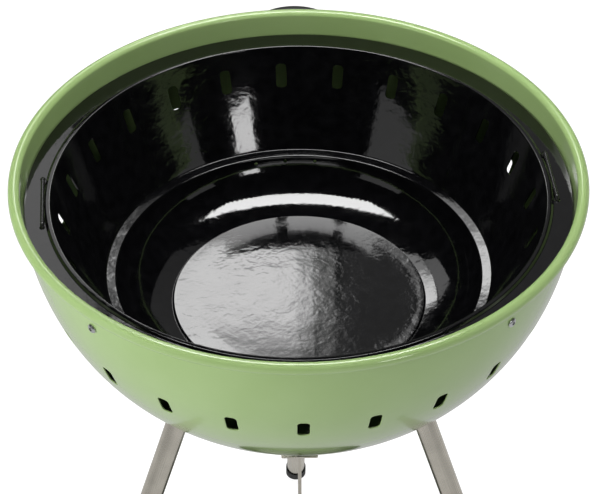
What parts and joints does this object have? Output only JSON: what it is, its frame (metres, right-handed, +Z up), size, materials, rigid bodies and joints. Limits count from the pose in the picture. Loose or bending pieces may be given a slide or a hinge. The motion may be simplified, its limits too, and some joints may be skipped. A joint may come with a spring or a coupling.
{
  "type": "kettle charcoal grill",
  "caption": "Kettle charcoal grill: enamelled bowl on splayed tube legs, with a lift-out fire bowl, drop-in wire handles, a rear handle, a rotary bottom damper and an ash dish.",
  "frame": {"origin": "at floor level, under the middle of the grill's outline: the feet stand on Z = 0, and the bowl's upright axis passes a little in front of the origin (negative Y)", "axes": "+Z up, -Y the front, with two legs in front and the third leg and the handle at the back"},
  "size_m": [0.6252, 0.644, 0.785],
  "materials": {
    "green_enamel": "glossy vitreous enamel, light green",
    "black_enamel": "glossy vitreous enamel, black, with a slight orange-peel surface",
    "black_wire": "satin black",
    "stainless_tube": "bright brushed stainless steel",
    "stainless_sheet": "satin stainless sheet",
    "zinc_plated_steel": "bright zinc plate",
    "black_socket": "satin black",
    "black_rubber": "matte",
    "black_phenolic": "satin"
  },
  "bodies": {
    "stand": {"outer_bowl": "green_enamel", "support_sleeve_front_left": "zinc_plated_steel", "support_screw_front_left": "zinc_plated_steel", "support_nut_front_left": "zinc_plated_steel", "support_sleeve_front_right": "zinc_plated_steel", "support_screw_front_right": "zinc_plated_steel", "support_nut_front_right": "zinc_plated_steel", "support_sleeve_rear_right": "zinc_plated_steel", "support_screw_rear_right": "zinc_plated_steel", "support_nut_rear_right": "zinc_plated_steel", "support_sleeve_rear_left": "zinc_plated_steel", "support_screw_rear_left": "zinc_plated_steel", "support_nut_rear_left": "zinc_plated_steel", "leg_tube_front_left": "stainless_tube", "leg_socket_front_left": "black_socket", "leg_plug_front_left": "zinc_plated_steel", "foot_cap_front_left": "black_rubber", "leg_washer_front_left": "zinc_plated_steel", "leg_bolt_front_left": "zinc_plated_steel", "leg_tube_front_right": "stainless_tube", "leg_socket_front_right": "black_socket", "leg_plug_front_right": "zinc_plated_steel", "foot_cap_front_right": "black_rubber", "leg_washer_front_right": "zinc_plated_steel", "leg_bolt_front_right": "zinc_plated_steel", "leg_tube_rear": "stainless_tube", "leg_socket_rear": "black_socket", "leg_plug_rear": "zinc_plated_steel", "foot_cap_rear": "black_rubber", "leg_washer_rear": "zinc_plated_steel", "leg_bolt_rear": "zinc_plated_steel", "rear_handle": "black_phenolic", "rear_handle_screw_left": "zinc_plated_steel", "rear_handle_washer_left": "zinc_plated_steel", "rear_handle_screw_right": "zinc_plated_steel", "rear_handle_washer_right": "zinc_plated_steel"},
    "fire_bowl": {"fire_bowl": "black_enamel"},
    "bail_right": {"bail_handle_right": "black_wire"},
    "bail_left": {"bail_handle_left": "black_wire"},
    "damper": {"damper_disc": "stainless_sheet", "damper_stem": "stainless_tube", "stem_washer": "zinc_plated_steel", "finger_bar": "stainless_tube", "ash_dish": "stainless_sheet", "damper_top_nut": "zinc_plated_steel", "damper_lower_nut": "zinc_plated_steel", "finger_bar_nut": "zinc_plated_steel", "dish_upper_nut": "zinc_plated_steel", "dish_lower_nut": "zinc_plated_steel"}
  },
  "joints": [
    {"name": "fire_bowl_lift", "type": "slide", "parent": "stand", "child": "fire_bowl", "axis": [0, 0, 1], "range_m": [0, 0.2]},
    {"name": "bail_right_lift", "type": "slide", "parent": "fire_bowl", "child": "bail_right", "axis": [0, 0, 1], "range_m": [0, 0.027]},
    {"name": "bail_left_lift", "type": "slide", "parent": "fire_bowl", "child": "bail_left", "axis": [0, 0, 1], "range_m": [0, 0.027]},
    {"name": "damper_turn", "type": "hinge", "parent": "stand", "child": "damper", "pos_m": [0, -0.03705, 0.385], "axis": [0, 0, 1], "range_deg": [0, 30]}
  ]
}
